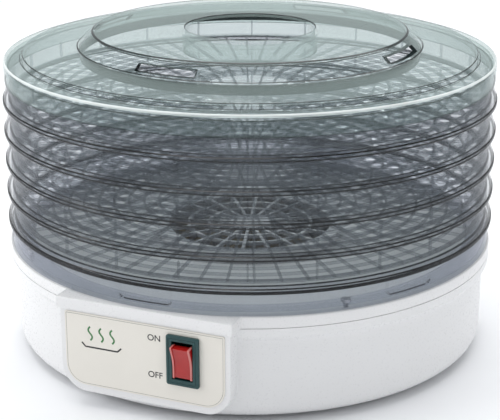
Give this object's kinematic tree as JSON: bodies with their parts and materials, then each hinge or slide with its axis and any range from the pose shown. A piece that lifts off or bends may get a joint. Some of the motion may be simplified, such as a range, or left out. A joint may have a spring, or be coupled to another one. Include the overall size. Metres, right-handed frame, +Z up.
{
  "type": "food dehydrator",
  "caption": "Round countertop food dehydrator: white base with a fan and heater, stacked smoky clear trays with grid floors, and a clear vented lid.",
  "frame": {"origin": "on the vertical axis of the round body, at the plane it stands on", "axes": "+Z up, the control panel and its switch face -Y"},
  "size_m": [0.3274, 0.3355, 0.2116],
  "materials": {
    "white_abs": "satin moulded",
    "smoky_clear": "clear smoky moulded",
    "clear_lid": "clear lightly smoked moulded",
    "zinc_steel": "zinc plated",
    "cream_label": "printed film",
    "green_switch": "satin moulded",
    "red_rocker": "translucent moulded",
    "brass_blade": "stamped",
    "grey_rubber": "moulded",
    "galvanised_sheet": "galvanised",
    "lamination_steel": "stacked sheet",
    "copper_winding": "varnished wire",
    "bronze_bush": "sintered",
    "shaft_steel": "ground",
    "grey_nylon": "moulded",
    "mica_sheet": "pressed mica",
    "resistance_wire": "oxidised wire",
    "control_can": "drawn can"
  },
  "bodies": {
    "base": {"base_housing": "white_abs", "top_deck": "white_abs", "outlet_grille": "white_abs", "base_ring": "smoky_clear", "ring_screws": "zinc_steel", "control_label": "cream_label", "switch_body": "green_switch", "switch_terminals": "brass_blade", "bottom_cover": "white_abs", "cover_screws": "zinc_steel", "foot_pads": "grey_rubber", "cord_inlet_bush": "grey_rubber", "air_duct": "galvanised_sheet", "duct_screws": "zinc_steel", "motor_bracket": "galvanised_sheet", "motor_stator": "lamination_steel", "motor_coil": "copper_winding", "lower_bearing_bridge": "galvanised_sheet", "upper_bearing_bridge": "galvanised_sheet", "lower_bush": "bronze_bush", "upper_bush": "bronze_bush", "motor_screws": "zinc_steel", "heater_frame": "mica_sheet", "heater_coil": "resistance_wire", "heater_tabs": "galvanised_sheet", "thermostat": "control_can", "thermal_fuse": "control_can", "terminal_block": "grey_nylon"},
    "fan": {"motor_rotor": "lamination_steel", "motor_shaft": "shaft_steel", "fan_impeller": "grey_nylon", "fan_clip": "zinc_steel"},
    "rocker": {"switch_rocker": "red_rocker"},
    "tray_5": {"tray_5": "smoky_clear", "tray_5_grid": "smoky_clear"},
    "tray_4": {"tray_4": "smoky_clear", "tray_4_grid": "smoky_clear"},
    "tray_3": {"tray_3": "smoky_clear", "tray_3_grid": "smoky_clear"},
    "tray_2": {"tray_2": "smoky_clear", "tray_2_grid": "smoky_clear"},
    "tray_1": {"tray_1": "smoky_clear", "tray_1_grid": "smoky_clear"},
    "lid": {"lid": "clear_lid"}
  },
  "joints": [
    {"name": "fan_spin", "type": "hinge", "parent": "base", "child": "fan", "pos_m": [0, 0, 0.03], "axis": [0, 0, 1], "continuous": true},
    {"name": "switch_rock", "type": "hinge", "parent": "base", "child": "rocker", "pos_m": [0.0266, -0.1622, 0.0435], "axis": [-1, 0, 0], "range_deg": [0, 22]},
    {"name": "tray_5_lift", "type": "slide", "parent": "base", "child": "tray_5", "axis": [0, 0, 1], "range_m": [0, 0.045]},
    {"name": "tray_4_lift", "type": "slide", "parent": "tray_5", "child": "tray_4", "axis": [0, 0, 1], "range_m": [0, 0.045]},
    {"name": "tray_3_lift", "type": "slide", "parent": "tray_4", "child": "tray_3", "axis": [0, 0, 1], "range_m": [0, 0.045]},
    {"name": "tray_2_lift", "type": "slide", "parent": "tray_3", "child": "tray_2", "axis": [0, 0, 1], "range_m": [0, 0.045]},
    {"name": "tray_1_lift", "type": "slide", "parent": "tray_2", "child": "tray_1", "axis": [0, 0, 1], "range_m": [0, 0.045]},
    {"name": "lid_lift", "type": "slide", "parent": "tray_1", "child": "lid", "axis": [0, 0, 1], "range_m": [0, 0.06]}
  ]
}
